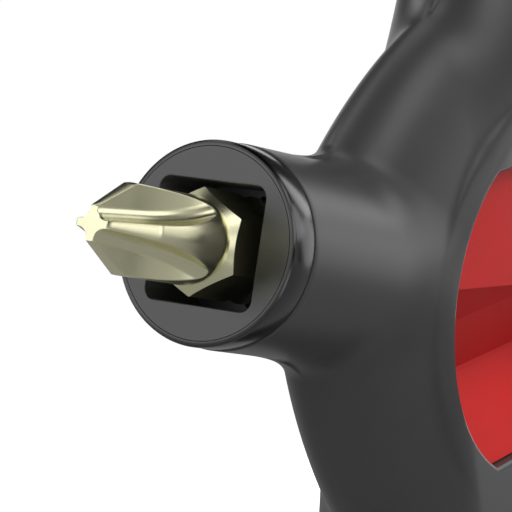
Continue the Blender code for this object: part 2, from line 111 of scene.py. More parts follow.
class KeyBodySizes(bpy.types.PropertyGroup):
    """Sizes of the black body."""
    hub_radius: length("Hub Radius", "Middle of the hub to its edge, measured along an arm", 23.48)
    half_hub: length("Half Hub", "Middle of the hub to the lip round the cover", 7.45)
    front_depth: length("Front Depth", "Middle of the hub to the top of its front dome", 8.375)
    back_depth: length("Back Depth", "Middle of the hub to the point that its back tapers to", 8.383)
    lip_radius: length("Lip Radius", "Where the lip round the cover starts to fall", 12.7)
    lip_width: length("Lip Width", "Where the lip ends inside the hub", 1.4)
    lip_soft: length("Lip Soft", "How gently the lip runs out", 1.0)
    flat_softness: length("Flat Softness", "How gently the hub runs into its flats", 0.40)
    arm_radius: length("Arm Radius", "Round arms", 7.0)
    upright_blend: length("Upright Blend", "Softness of the creases at the upper and lower arms", 3.3)
    front_blend: length("Front Blend", "The same at the hub's front", 7.0)
    side_blend: length("Side Blend", "Softness of the creases at the left and right arms", 1.4)
    rim_round: length("Rim Round", "Softened edge round the cover's opening", 0.30)
    end_round: length("End Round", "Softened edge at the end of an arm", 0.10)
    front_fall: number("Front Fall", "Fullness of the front dome", 2.41)
    back_fall: number("Back Fall", "Fullness of the tapered back", 1.2)
    lip_slope: number("Lip Slope", "Fall of the lip", 0.50)
    plan_fullness: number("Plan Fullness", "From a diamond, 1, to a round, 2", 1.473)


class KeyCoverSizes(bpy.types.PropertyGroup):
    """Sizes of the red cover and the opening it sits in."""
    opening_radius: length("Opening Radius", "Round part of the opening", 12.60)
    opening_flat: length("Opening Flat", "Middle to a straight edge of the opening", 10.98)
    low: length("Low", "How far the opening's middle lies below the hub's", 0.33)
    gap: length("Gap", "Cover to the opening's wall", 0.12)
    face: length("Face", "Upper face of the cover before the hub's middle", 6.70)
    back: length("Back", "Rear face of the cover before the hub's middle", 3.3)
    pocket_depth: length("Pocket Depth", "Half depth of the pocket under the cover", 3.0)
    floor: length("Floor", "Cover left at the valley of its step", 0.60)
    edge_round: length("Edge Round", "Softened edges of the cover", 0.07)
    peg_place: length("Peg Place", "Hub's middle to a peg of the cover", 11.33)
    peg_radius: length("Peg Radius", "Pegs that hold the cover", 0.50)
    peg_length: length("Peg Length", "Pegs behind the cover", 3.0)
    edge_slant: degrees("Edge Slant", "Turn of the straight edges", 17.5)
    step_slant: degrees("Step Slant", "Turn of the step", 16.8)


class KeySocketSizes(bpy.types.PropertyGroup):
    """Sizes that the four flanged sockets share."""
    flange_back: length("Flange Back", "Hub's middle to the back of a flange", 32.47)
    flange_radius: length("Flange Radius", "Round outside of a flange", 6.93)
    flange_round: length("Flange Round", "Softened outer edge of a flange", 0.28)
    groove_inset: length("Groove Inset", "Turned line inside the flange's edge", 0.13)
    groove_width: length("Groove Width", "Width of that line", 0.05)
    groove_depth: length("Groove Depth", "Depth of that line", 0.05)
    shank_radius: length("Shank Radius", "Part inside the arm", 6.1)
    shank_flat: length("Shank Flat", "Middle to the shank's two driving flats", 5.4)
    stud_radius: length("Stud Radius", "Stud that the cross pin goes through", 2.4)
    stud_end: length("Stud End", "Hub's middle to the end of a stud", 6.2)
    pin_place: length("Pin Place", "Hub's middle to a cross pin", 7.9)
    pin_hole: length("Pin Hole", "Radius of the hole for a cross pin", 1.1)
    mouth_round: length("Mouth Round", "Softened edge of a mouth", 0.09)
    key_depth: length("Key Depth", "Depth of the mouths that hold no bit", 12.0)
    square_depth: length("Square Depth", "Depth of the square mouth round the bit", 6.5)
    floor: length("Floor", "Metal under a mouth", 1.0)
    square_width: length("Square Width", "Square mouth for 8 mm spindles", 8.3)
    square_corner: length("Square Corner", "Corner of the square mouth", 0.80)
    small_width: length("Small Square Width", "Square mouth for 6 mm spindles", 6.2)
    small_corner: length("Small Square Corner", "Corner of the small square mouth", 0.50)
    triangle_height: length("Triangle Height", "Height of the triangle mouth", 8.0)
    triangle_corner: length("Triangle Corner", "Corner of the triangle mouth", 0.60)
    bore_radius: length("Bore Radius", "Round part of the double-bit mouth", 3.2)
    wing_reach: length("Wing Reach", "Middle to the end of a wing of that mouth", 5.1)
    wing_width: length("Wing Width", "Width of a wing of that mouth", 2.4)
    seat_width: length("Seat Width", "Hexagon seat across flats", 6.65)
    seat_shank: length("Seat Shank", "Radius of the metal round the hexagon seat", 5.04)
    magnet_hole: length("Magnet Hole", "Radius of the magnet's seat", 3.3)


class KeyBitSizes(bpy.types.PropertyGroup):
    """Sizes of the cross-head bit."""
    hex_width: length("Hexagon Width", "Across flats", 6.35)
    shoulder: length("Shoulder", "Tip to the hexagon's shoulder", 11.87)
    neck_radius: length("Neck Radius", "Round neck", 3.0)
    neck_groove: length("Neck Groove", "Depth of the hollow before the shoulder", 0.16)
    neck_groove_length: length("Neck Groove Length", "Length of that hollow", 0.9)
    tip_radius: length("Tip Radius", "Round of the tip's end", 1.16)
    wing_width: length("Wing Width", "Width of a wing at the tip", 0.50)
    flute_straight: length("Flute Straight", "Length before a flute curves out", 3.75)
    flute_length: length("Flute Length", "Length of a flute", 10.75)
    flute_round: length("Flute Round", "Hollow corner of a flute", 0.85)
    edge_round: length("Edge Round", "Softened edges of the wings", 0.05)
    flute_slope: number("Flute Slope", "Rise of a flute's floor along the bit", 0.10)
    cone: degrees("Cone", "Half angle of the tip", 26.5)
    chamfer: degrees("Chamfer", "Slope of the hexagon's chamfers", 30)


class KeyFinishes(bpy.types.PropertyGroup):
    """Base colours."""
    body_black: colour("Body Black", "Satin coat of the body", (0.053, 0.053, 0.054))
    cover_red: colour("Cover Red", "Moulded red plastic", (0.68, 0.012, 0.011))
    socket_steel: colour("Socket Steel", "Blackened steel", (0.088, 0.088, 0.090))
    band_steel: colour("Band Steel", "Polished band of the flanges", (0.088, 0.088, 0.090))
    mouth_black: colour("Mouth Black", "Inside of the mouths", (0.11, 0.11, 0.12))
    bit_nickel: colour("Bit Nickel", "Champagne plating", (0.82, 0.80, 0.54))
    pin_steel: colour("Pin Steel", "Ground steel", (0.45, 0.45, 0.46))
    magnet_nickel: colour("Magnet Nickel", "Plated magnet", (0.60, 0.60, 0.60))


class KeyStudio(bpy.types.PropertyGroup):
    """Camera and light."""
    lens: bpy.props.FloatProperty(name="Lens", description="Camera lens", default=232.03, unit="CAMERA")
    lamp_power: number("Lamp Power", "Strength of all lamps", 1.0)
    room_light: number("Room Light", "Light from all round", 0.10)
    drape_level: number("Drape Level", "How light the dark drapes are", 0.01)


def alone(item):
    """Make one object the only selected one and the active one."""
    bpy.ops.object.select_all(action="DESELECT")
    item.select_set(True)
    bpy.context.view_layer.objects.active = item


@contextlib.contextmanager
def editing(item):
    """Edit mode on one object, for the length of a with block."""
    alone(item)
    bpy.ops.object.mode_set(mode="EDIT")
    yield
    bpy.ops.object.mode_set(mode="OBJECT")


def put_in_mesh(item):
    """Move an object's place into its mesh."""
    alone(item)
    bpy.ops.object.transform_apply(location=True, rotation=True, scale=True)


def added(name):
    """The primitive that was just added, with its place in its mesh."""
    item = bpy.context.active_object
    item.name = name
    put_in_mesh(item)
    return item


def cylinder(name, low, high, radius, sides=ROUND_SIDES):
    """A bar along +X."""
    bpy.ops.mesh.primitive_cylinder_add(vertices=sides, radius=radius, depth=high - low)
    item = bpy.context.active_object
    item.rotation_euler = Matrix.Rotation(math.pi / 2, 3, "Y").to_euler()
    item.location = ((low + high) / 2, 0, 0)
    return added(name)


def depth_bar(name, low, high, radius, sides, place=(0, 0, 0)):
    """A bar along Y."""
    bpy.ops.mesh.primitive_cylinder_add(
        vertices=sides, radius=radius, depth=high - low, rotation=(math.pi / 2, 0, 0),
        location=Vector(place) + Vector((0, (low + high) / 2, 0)))
    return added(name)


def cube(name, low, high):
    """A box between two corners."""
    bpy.ops.mesh.primitive_cube_add(size=1, location=(Vector(low) + Vector(high)) / 2)
    bpy.context.active_object.scale = Vector(high) - Vector(low)
    return added(name)


def combine(target, tool, operation="DIFFERENCE"):
    """Cut or join a piece with a tool, which is used up."""
    step = target.modifiers.new("combine", "BOOLEAN")
    step.operation = operation
    step.solver = "EXACT"
    step.object = tool
    alone(target)
    bpy.ops.object.modifier_apply(modifier=step.name)
    bpy.data.objects.remove(tool, do_unlink=True)
    return target


def slice_off(item, point, normal):
    """Cut a piece by a plane, drop what lies beyond it and close the cut."""
    with editing(item):
        bpy.ops.mesh.select_all(action="SELECT")
        bpy.ops.mesh.bisect(
            plane_co=point, plane_no=normal, use_fill=True, clear_outer=True, threshold=CUT_MERGE)


def select(item, kind, test):
    """In edit mode, select the edges or the faces that pass a test."""
    bpy.ops.mesh.select_mode(type=kind)
    bpy.ops.mesh.select_all(action="DESELECT")
    mesh = bmesh.from_edit_mesh(item.data)
    for part in mesh.edges if kind == "EDGE" else mesh.faces:
        if test(part):
            part.select_set(True)
    bmesh.update_edit_mesh(item.data)


def placed(name, data):
    """A new object in the scene."""
    item = bpy.data.objects.new(name, data)
    bpy.context.scene.collection.objects.link(item)
    return item


def extrude(way):
    """In edit mode, draw the selected faces out."""
    bpy.ops.mesh.extrude_region_move(TRANSFORM_OT_translate={"value": way})


def soften(item, width, test, segments=3):
    """Bevel the edges that pass a test."""
    with editing(item):
        select(item, "EDGE", test)
        bpy.ops.mesh.bevel(offset=width, offset_type="OFFSET", segments=segments, profile=0.5,
                           affect="EDGES", clamp_overlap=True)


def middle(edge):
    """Middle point of an edge."""
    return (edge.verts[0].co + edge.verts[1].co) / 2


def is_sharp(edge, least=SHARP):
    """Whether two faces meet at an edge with a clear angle."""
    return len(edge.link_faces) == 2 and edge.calc_face_angle(0.0) > least


def runs_along(edge, axis):
    """Whether an edge is parallel to an axis."""
    return abs((edge.verts[1].co - edge.verts[0].co).normalized()[axis]) > PARALLEL


def clean(item, shade_angle=SHADE_ANGLE):
    """Merge doubled points, turn all faces outwards and shade by angle."""
    with editing(item):
        bpy.ops.mesh.select_all(action="SELECT")
        bpy.ops.mesh.remove_doubles(threshold=MERGE)
        bpy.ops.mesh.dissolve_degenerate(threshold=SLIVER)
        bpy.ops.mesh.normals_make_consistent(inside=False)
    bpy.ops.object.shade_smooth_by_angle(angle=shade_angle)


def about_hub(turn, way):
    """A direction in the hub's plane, turned from +X towards +Z."""
    return Matrix.Rotation(-turn, 3, "Y") @ Vector(way)


def to_arm(item, side):
    """Turn a piece from an arm's own axes into that arm, at the hub."""
    item.matrix_world = Matrix.Translation(HUB_CENTRE) @ Matrix.Rotation(-ARM_TURNS[side], 4, "Y")
    put_in_mesh(item)


def to_hub(item):
    """Move a piece from the hub's own axes to the hub."""
    item.location = HUB_CENTRE
    put_in_mesh(item)


def hand_over(item, node, body):
    """Tie a finished piece to its body and let it stand for its node."""
    if not item.data.polygons:
        raise RuntimeError(f"{item.name} came out empty")
    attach(item, body)
    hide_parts(node)


def soft_least(a, b, softness):
    """The smaller of two distances, rounded where they are alike."""
    share = np.clip(0.5 + 0.5 * (b - a) / softness, 0.0, 1.0)
    return b * (1 - share) + a * share - softness * share * (1 - share)


def skin_distance(points, size):
    """Distance to the body's skin: a hub domed in front and tapered behind, a lip, and softly joined arms."""
    x, y, z = points.T
    depth = np.where(y < 0, size.front_depth, size.back_depth)
    fall = np.where(y < 0, size.front_fall, size.back_fall)
    plan = (np.abs(x) ** size.plan_fullness + np.abs(z) ** size.plan_fullness) ** (1 / size.plan_fullness)
    hub = depth * (np.sqrt((plan / size.hub_radius) ** fall + (y / depth) ** 2) - 1)
    past = np.hypot(x, z) - size.lip_radius
    lip = np.maximum(-y - size.half_hub + size.lip_slope * np.maximum(past, 0), past - size.lip_width)
    hub = soft_least(hub, np.maximum(lip, y), size.lip_soft)
    forward = np.clip(-y / size.half_hub, 0.0, 1.0)
    blend = size.upright_blend + (size.front_blend - size.upright_blend) * forward
    joined = soft_least(hub, np.hypot(y, x) - size.arm_radius, blend)
    joined = soft_least(joined, np.hypot(y, z) - size.arm_radius, size.side_blend)
    return -soft_least(-joined, size.half_hub - np.abs(y), size.flat_softness)


SKIN_ROUNDS = 14
SKIN_STEP = 0.01 * MM


def draw_to_skin(item, size):
    """Draw a cage's points onto the body's skin."""
    count = len(item.data.vertices)
    points = np.empty(count * 3)
    item.data.vertices.foreach_get("co", points)
    points = points.reshape(-1, 3)
    for _ in range(SKIN_ROUNDS):
        slope = np.stack([(skin_distance(points + step, size) - skin_distance(points - step, size))
                          / (2 * SKIN_STEP) for step in np.eye(3) * SKIN_STEP], axis=1)
        points = points - skin_distance(points, size)[:, None] * slope / (slope ** 2).sum(axis=1)[:, None]
    item.data.vertices.foreach_set("co", points.ravel())
    item.data.update()


WEB_START = 11.5 * MM
WEB_END = 24 * MM
WEB_OFF_ARM = 3.5 * MM
WEB_BY_COVER = 17 * MM


def in_web(place):
    """Whether a point lies in the webs between the arms or beside the cover."""
    out = math.hypot(place.x, place.z)
    aside = min(abs(place.x), abs(place.z))
    return WEB_START < out < WEB_END and (aside > WEB_OFF_ARM or out < WEB_BY_COVER)


CAGE_HALF = 12.4 * MM
CAGE_DEPTH = 6.6 * MM
# Length, half width and half depth of the two steps of an arm
CAGE_ARM = ((5.0 * MM, 8.6 * MM, 7.5 * MM), (22.0 * MM, 7.5 * MM, 7.5 * MM))
CAGE_NEAR = 0.1 * MM
CAGE_LEVELS = 5
SMOOTH_ROUNDS = 4
SMOOTH_REPEAT = 6
SMOOTH_FACTOR = 0.5


def body_cage(size):
    """A cube whose four sides are pulled out into arms, subdivided and drawn to the skin."""
    item = cube("body_shell", (-CAGE_HALF, -CAGE_DEPTH, -CAGE_HALF), (CAGE_HALF, CAGE_DEPTH, CAGE_HALF))
    with editing(item):
        for turn in ARM_TURNS.values():
            out = about_hub(turn, (1, 0, 0))
            far = CAGE_HALF
            across = CAGE_HALF
            deep = CAGE_DEPTH
            for step, width, depth in CAGE_ARM:
                select(item, "FACE", lambda face: face.calc_center_median().dot(out) > far - CAGE_NEAR)
                extrude(out * step)
                far += step
                share = Vector((width / across, depth / deep, width / across))
                bpy.ops.transform.resize(value=share, center_override=out * far)
                across = width
                deep = depth
            bpy.ops.mesh.delete(type="FACE")
    smooth = item.modifiers.new("smooth", "SUBSURF")
    smooth.levels = CAGE_LEVELS
    smooth.render_levels = CAGE_LEVELS
    bpy.ops.object.modifier_apply(modifier=smooth.name)
    for _ in range(SMOOTH_ROUNDS):
        draw_to_skin(item, size)
        with editing(item):
            bpy.ops.mesh.select_all(action="SELECT")
            bpy.ops.mesh.vertices_smooth(factor=SMOOTH_FACTOR, repeat=SMOOTH_REPEAT)
    draw_to_skin(item, size)
    with editing(item):
        select(item, "FACE", lambda face: in_web(face.calc_center_median()))
        bpy.ops.mesh.subdivide(number_cuts=1)
    draw_to_skin(item, size)
    return item


def flatted_bar(name, low, high, radius, flat):
    """A round bar along +X with two flats, at +Z and -Z."""
    item = cylinder(name, low, high, radius)
    for side in (1, -1):
        slice_off(item, (0, 0, side * flat), (0, 0, side))
    return item


def rounded_block(name, low, high, corner, axis=0):
    """A block whose edges along one axis are rounded."""
    item = cube(name, low, high)
    soften(item, corner, lambda edge: runs_along(edge, axis), segments=CORNER_SEGMENTS)
    return item


def cover_bar(name, low, high, inset, cover):
    """The cover's outline, a circle with two slanted straight edges, drawn out along Y."""
    item = depth_bar(name, low, high, cover.opening_radius - inset, FINE_SIDES)
    across = about_hub(cover.edge_slant, (0, 0, 1))
    for side in (1, -1):
        slice_off(item, across * side * (cover.opening_flat - inset), across * side)
    item.location = (0, 0, -cover.low)
    put_in_mesh(item)
    return item


LIP_STEPS = 6
LIP_DROP = 0.04 * MM


def opening_tool(size, cover):
    """What the cover's opening takes out of the hub, flared at its lip so that the rim comes out rounded."""
    lip = size.half_hub - LIP_DROP
    tool = cover_bar("opening", -size.half_hub - 2 * CUT_OVER, -lip, -size.rim_round, cover)
    turns = [math.radians(90) * step / LIP_STEPS for step in range(LIP_STEPS + 1)]
    with editing(tool):
        select(tool, "FACE", lambda face: face.normal.y > FACING)
        for last, turn in zip(turns, turns[1:]):
            bpy.ops.mesh.inset(thickness=size.rim_round * (math.sin(turn) - math.sin(last)),
                               depth=size.rim_round * (math.cos(last) - math.cos(turn)))
        extrude((0, lip - size.rim_round - cover.pocket_depth, 0))
    clean(tool)
    return tool


FIT = 0.30 * MM
SEAT_END = 19.55 * MM
POCKET_HALF = 9.0 * MM
POCKET_CORNER = 6.0 * MM
PEG_TURNS = (math.radians(45), math.radians(225))


def peg_bars(low, high, radius, cover):
    """Two round bars along Y where the cover is pegged to the hub."""
    places = [about_hub(turn, (cover.peg_place, 0, 0)) for turn in PEG_TURNS]
    return [depth_bar("peg", low, high, radius, SMALL_SIDES, place) for place in places]


def socket_end(side, socket):
    """Inner end of a socket's wide shank, from the hub's middle."""
    return ARM_REACH - (socket.square_depth if side == BIT_SIDE else socket.key_depth) - socket.floor


def bore_tool(side, socket):
    """What one socket takes out of the body."""
    end = socket_end(side, socket)
    tool = flatted_bar("bore", end - FIT, ARM_END + CUT_OVER, socket.shank_radius + FIT,
                       socket.shank_flat + FIT)
    combine(tool, cylinder("stud_hole", POCKET_HALF - CUT_OVER, end, socket.stud_radius + FIT), "UNION")
    if side == BIT_SIDE:
        combine(tool, cylinder("seat_bore", SEAT_END - FIT, end, socket.seat_shank + FIT), "UNION")
    tool.matrix_world = Matrix.Rotation(-ARM_TURNS[side], 4, "Y")
    put_in_mesh(tool)
    return tool


class KEY_OT_body(bpy.types.Operator):
    """Model the black body: hub and four arms, opened for the cover and the sockets"""
    bl_idname = "cabinet_key.body"
    bl_label = "Body"

    def execute(self, context):
        """Cage, cuts, softened edges and finish."""
        size = context.scene.key_body_sizes
        cover = context.scene.key_cover_sizes
        socket = context.scene.key_socket_sizes
        body = body_cage(size)
        for turn in ARM_TURNS.values():
            out = about_hub(turn, (1, 0, 0))
            slice_off(body, out * ARM_END, out)
        soften(body, size.end_round, is_sharp)
        tool = opening_tool(size, cover)
        front = -cover.pocket_depth - CUT_OVER / 2
        pocket = rounded_block("pocket", (-POCKET_HALF, front, -POCKET_HALF),
                               (POCKET_HALF, cover.pocket_depth, POCKET_HALF), POCKET_CORNER, axis=1)
        combine(tool, pocket, "UNION")
        for side in ARM_TURNS:
            combine(tool, bore_tool(side, socket), "UNION")
        hole_end = -cover.back + cover.peg_length + FIT
        for hole in peg_bars(front, hole_end, cover.peg_radius + FIT, cover):
            combine(tool, hole, "UNION")
        combine(body, tool)
        clean(body)
        to_hub(body)
        body.data.materials.append(finish("satin_black"))
        hand_over(body, "key_body", "key")
        return {"FINISHED"}


STEP_TOP_LEFT = 3.40 * MM
STEP_MEET = 4.6 * MM
STEP_BREAK = 0.34 * MM
STEP_LEAST = STEP_BREAK + 0.02 * MM
STEP_VALLEY = -4.19 * MM
STEP_BREAK_DROP = 0.90 * MM
STEP_HOLLOW = 0.15
STEP_CURVED = 0.75
STEP_STEPS = 14
COVER_SHARP = math.radians(9)
COVER_SHADE_ANGLE = math.radians(4)


def step_line(top, edge, cover):
    """Across and depth of the step's profile: a facet, a wall to the valley, a hollow that climbs again."""
    valley = -cover.back - cover.floor
    line = [(top, -cover.face - CUT_OVER), (top, -cover.face), (STEP_BREAK, -cover.face + STEP_BREAK_DROP)]
    climb = (-cover.face - valley) / (1 - STEP_HOLLOW)
    for share in [STEP_CURVED * n / STEP_STEPS for n in range(STEP_STEPS + 1)] + [1.0]:
        height = share - STEP_HOLLOW * (1 - math.exp(-share / STEP_HOLLOW))
        line.append((STEP_VALLEY + (edge - STEP_VALLEY) * share, valley + climb * height))
    line.append((edge, -cover.face - CUT_OVER))
    return line


def step_tool(cover):
    """What the slanted step takes out of the cover, drawn out along the step."""
    reach = cover.opening_radius + CUT_OVER
    edge = -cover.opening_flat - cover.low
    ends = [[(x, y, z) for z, y in step_line(top, edge, cover)]
            for x, top in ((-reach, STEP_TOP_LEFT), (STEP_MEET, STEP_LEAST), (reach, STEP_LEAST))]
    count = len(ends[0])
    sides = [(part + n, part + (n + 1) % count, part + count + (n + 1) % count, part + count + n)
             for part in (0, count) for n in range(count)]
    mesh = bpy.data.meshes.new("step")
    mesh.from_pydata(sum(ends, []), [], sides + [tuple(range(count)), tuple(range(2 * count, 3 * count))])
    item = placed("step", mesh)
    item.rotation_euler = (0, -cover.step_slant, 0)
    put_in_mesh(item)
    clean(item)
    return item


class KEY_OT_cover(bpy.types.Operator):
    """Model the red cover with its slanted step"""
    bl_idname = "cabinet_key.cover"
    bl_label = "Cover"

    def execute(self, context):
        """Outline, step, pegs, softened edges and finish."""
        cover = context.scene.key_cover_sizes
        item = cover_bar("cover_plate", -cover.face, -cover.back, cover.gap, cover)
        combine(item, step_tool(cover))
        clean(item)
        soften(item, cover.edge_round, lambda edge: is_sharp(edge, COVER_SHARP), segments=2)
        root = -cover.back - cover.floor / 2
        for peg in peg_bars(root, -cover.back + cover.peg_length, cover.peg_radius, cover):
            combine(item, peg, "UNION")
        clean(item, COVER_SHADE_ANGLE)
        to_hub(item)
        item.data.materials.append(finish("red_plastic"))
        hand_over(item, "hub_cover", "key")
        return {"FINISHED"}


def square_mouth(low, high, width, corner):
    """A rounded square bar."""
    half = width / 2
    return rounded_block("mouth", (low, -half, -half), (high, half, half), corner)


def triangle_mouth(socket, low, high):
    """A rounded triangle bar with one corner towards +Z."""
    item = cylinder("mouth", low, high, socket.triangle_height * 2 / 3, sides=3)
    top = max(vertex.co.z for vertex in item.data.vertices)
    if top < socket.triangle_height / 2:
        item.rotation_euler = (math.pi, 0, 0)
        put_in_mesh(item)
    soften(item, socket.triangle_corner * math.sqrt(3), lambda edge: runs_along(edge, 0),
           segments=CORNER_SEGMENTS)
    return item


def double_bit_mouth(socket, low, high):
    """A round bore with two opposite wings."""
    item = cylinder("mouth", low, high, socket.bore_radius)
    half = socket.wing_width / 2
    wings = cube("wings", (low, -socket.wing_reach, -half), (high, socket.wing_reach, half))
    return combine(item, wings, "UNION")


def corner_reach(width):
    """Middle to a corner of a hexagon of a width across flats."""
    return width / 2 / math.cos(math.pi / 6)


def hexagon_bar(low, high, width):
    """A hexagon bar along +X with a corner towards +Z."""
    item = cylinder("hexagon", low, high, corner_reach(width), sides=6)
    if max(vertex.co.z for vertex in item.data.vertices) < corner_reach(width) * FACING:
        item.rotation_euler = (math.pi / 6, 0, 0)
        put_in_mesh(item)
    return item


FLANGE_BACK_ROUND = 0.08 * MM
FLANGE_FACE_LEAST = 10 * MM * MM
BAND_WIDTH = 0.19 * MM
MOUTH_FALL = 0.10 * MM
MOUTH_INSIDE = 1.0 * MM
MAGNET_SEAT = 2.0 * MM
PIN_REACH = 4 * MM


def flange(name, socket):
    """Flange with softened edges and a fine turned line in its face."""
    back = socket.flange_back
    item = cylinder(name, back, ARM_REACH, socket.flange_radius)
    soften(item, socket.flange_round, lambda edge: is_sharp(edge) and middle(edge).x > ARM_REACH - NEAR)
    soften(item, FLANGE_BACK_ROUND, lambda edge: is_sharp(edge) and middle(edge).x < back + NEAR)
    with editing(item):
        select(item, "FACE", lambda face: face.normal.x > FACING and face.calc_area() > FLANGE_FACE_LEAST)
        bpy.ops.mesh.inset(thickness=socket.groove_inset)
        for depth in (-socket.groove_depth, socket.groove_depth):
            bpy.ops.mesh.inset(thickness=socket.groove_width / 2, depth=depth)
    return item


def socket_piece(name, side, socket, mouth):
    """Flanged socket: shank with two flats, stud with a pin hole, and its mouth."""
    end = socket_end(side, socket)
    item = flange(name, socket)
    shank = flatted_bar("shank", end, socket.flange_back + CUT_OVER, socket.shank_radius, socket.shank_flat)
    combine(item, shank, "UNION")
    stud_start = end
    if side == BIT_SIDE:
        combine(item, cylinder("seat", SEAT_END, end + socket.floor / 2, socket.seat_shank), "UNION")
        stud_start = SEAT_END
    stud = cylinder("stud", socket.stud_end, stud_start + socket.floor / 2, socket.stud_radius)
    combine(item, stud, "UNION")
    combine(item, mouth)
    if side == BIT_SIDE:
        combine(item, hexagon_bar(BIT_REAR - FIT, ARM_REACH, socket.seat_width))
        combine(item, cylinder("magnet_hole", BIT_REAR - 2 * FIT - MAGNET_SEAT, BIT_REAR, socket.magnet_hole))
    pin = cylinder("pin_hole", -PIN_REACH, PIN_REACH, socket.pin_hole, sides=SMALL_SIDES)
    pin.matrix_world = Matrix.Translation((socket.pin_place, 0, 0)) @ Matrix.Rotation(math.pi / 2, 4, "Y")
    put_in_mesh(pin)
    combine(item, pin)
    clean(item)
    inner = socket.flange_radius - MOUTH_INSIDE
    soften(item, socket.mouth_round, lambda edge: is_sharp(edge) and all(
        v.co.x > ARM_REACH - VERY_NEAR and math.hypot(v.co.y, v.co.z) < inner for v in edge.verts))
    clean(item)
    for title in ("socket_face", "socket_band", "mouth_black"):
        item.data.materials.append(finish(title))
    for face in item.data.polygons:
        around = math.hypot(face.center.y, face.center.z)
        if around > socket.flange_radius - BAND_WIDTH:
            face.material_index = 1
        elif face.center.x < ARM_REACH - MOUTH_FALL:
            face.material_index = 2
    to_arm(item, side)
    return item


class KEY_OT_sockets(bpy.types.Operator):
    """Model the four flanged sockets"""
    bl_idname = "cabinet_key.sockets"
    bl_label = "Sockets"

    def execute(self, context):
        """One socket for each arm, each with its own mouth."""
        socket = context.scene.key_socket_sizes
        top = ARM_REACH + CUT_OVER
        low = ARM_REACH - socket.key_depth
        square = square_mouth(ARM_REACH - socket.square_depth, top, socket.square_width, socket.square_corner)
        small = square_mouth(low, top, socket.small_width, socket.small_corner)
        for name, node, side, mouth in (
                ("socket_square", "square_socket", BIT_SIDE, square),
                ("socket_small_square", "small_square_socket", "right", small),
                ("socket_triangle", "triangle_socket", "upper", triangle_mouth(socket, low, top)),
                ("socket_double_bit", "double_bit_socket", "lower", double_bit_mouth(socket, low, top))):
            item = socket_piece(name, side, socket, mouth)
            hand_over(item, node, "key")
        return {"FINISHED"}


# Points of a section of the bit
FLUTE_POINTS = 22
FLUTE_CURVE = 2.6
FLUTE_LEAST = 0.03 * MM
WING_POINTS = 5
EDGE_STEPS = (-1.0, -0.5, 0.0, 0.5, 1.0)
# Rings of the bit, back from its tip
TIP_PLACES = (0.0, 0.02 * MM, 0.05 * MM)
TIP_ROUNDING = (0.04 * MM, 0.012 * MM, 0.0)
CONE_RINGS = 13
FLUTE_RINGS = 56
NECK_RINGS = 12
RUN_OUT = 0.05 * MM
NECK_OVERLAP = 1.5 * MM
START_RADIUS = 1.0 * MM


def bit_outer(back, bit):
    """Radius of the bit's conical or round outside, at a distance back from the tip."""
    outer = min(bit.tip_radius + math.tan(bit.cone) * back, bit.neck_radius)
    hollow = max(back - bit.shoulder + bit.neck_groove_length, 0.0) / bit.neck_groove_length
    return outer - bit.neck_groove * min(hollow, 1.0) ** 2


def half_wing(back, bit):
    """Half the width of a wing, at a distance back from the tip."""
    even = bit.wing_width / 2 + bit.flute_slope * back / math.sqrt(2)
    full = bit.wing_width / 2 + bit.flute_slope * bit.flute_length / math.sqrt(2)
    gone = (bit.neck_radius + bit.flute_round) / math.sqrt(2) - bit.flute_round
    curve = max(back - bit.flute_straight, 0.0) / (bit.flute_length - bit.flute_straight)
    return even + (gone - full) * curve ** FLUTE_CURVE


def flute_point(along, half, hollow):
    """A point of a flute's wall, at a distance from the flute's deepest line."""
    centre = half + hollow
    turn = along / hollow
    if turn > math.pi / 4:
        return (centre + along - hollow * math.pi / 4, half)
    turn = math.pi / 4 - turn
    return (centre - hollow * math.sin(turn), centre - hollow * math.cos(turn))


def flute_end(outer, half, hollow):
    """How far a flute's wall runs from the deepest line to the outside."""
    centre = half + hollow
    if outer > math.hypot(centre, half):
        return hollow * math.pi / 4 + math.sqrt(outer ** 2 - half ** 2) - centre
    deep = math.sqrt(2) * centre
    cosine = (deep ** 2 + hollow ** 2 - outer ** 2) / (2 * deep * hollow)
    return hollow * math.acos(min(cosine, 1.0))


def half_quarter(back, bit):
    """Angle and radius of the section's points from a flute's deepest line to the middle of a wing."""
    outer = bit_outer(back, bit)
    half = half_wing(back, bit)
    hollow = bit.flute_round
    end = max(flute_end(outer, half, hollow), FLUTE_LEAST)
    soft = min(bit.edge_round, end / 3)
    places = [(end - soft) * n / FLUTE_POINTS for n in range(FLUTE_POINTS)]
    places += [end + soft * step for step in EDGE_STEPS]
    points = []
    for along in places:
        point = flute_point(along, half, hollow)
        far = float(soft_least(math.hypot(*point), outer, soft))
        points.append((math.atan2(point[1], point[0]), min(far, outer)))
    last = points[-1][0]
    points += [(last * (1 - n / WING_POINTS), outer) for n in range(1, WING_POINTS + 1)]
    return points


def section(back, bit):
    """All points of the tip's section at a distance back from the tip."""
    half = half_quarter(back, bit)
    turn = math.pi / 2
    quarter = half[::-1] + [(turn - angle, far) for angle, far in half[1:-1]]
    ring = []
    for wing in range(4):
        ring += [(far * math.cos(angle + wing * turn), far * math.sin(angle + wing * turn))
                 for angle, far in quarter]
    return ring


def stations(bit):
    """Distances back from the tip at which the bit has a ring of points."""
    cone_length = (bit.neck_radius - bit.tip_radius) / math.tan(bit.cone)
    flutes_end = bit.flute_length + RUN_OUT
    places = list(TIP_PLACES)
    places += list(np.linspace(TIP_PLACES[-1], cone_length, CONE_RINGS)[1:])
    places.append(bit.flute_straight)
    places += list(np.linspace(bit.flute_straight, flutes_end, FLUTE_RINGS)[1:])
    places += list(np.linspace(flutes_end, bit.shoulder, NECK_RINGS)[1:])
    places.append(bit.shoulder + NECK_OVERLAP)
    return places


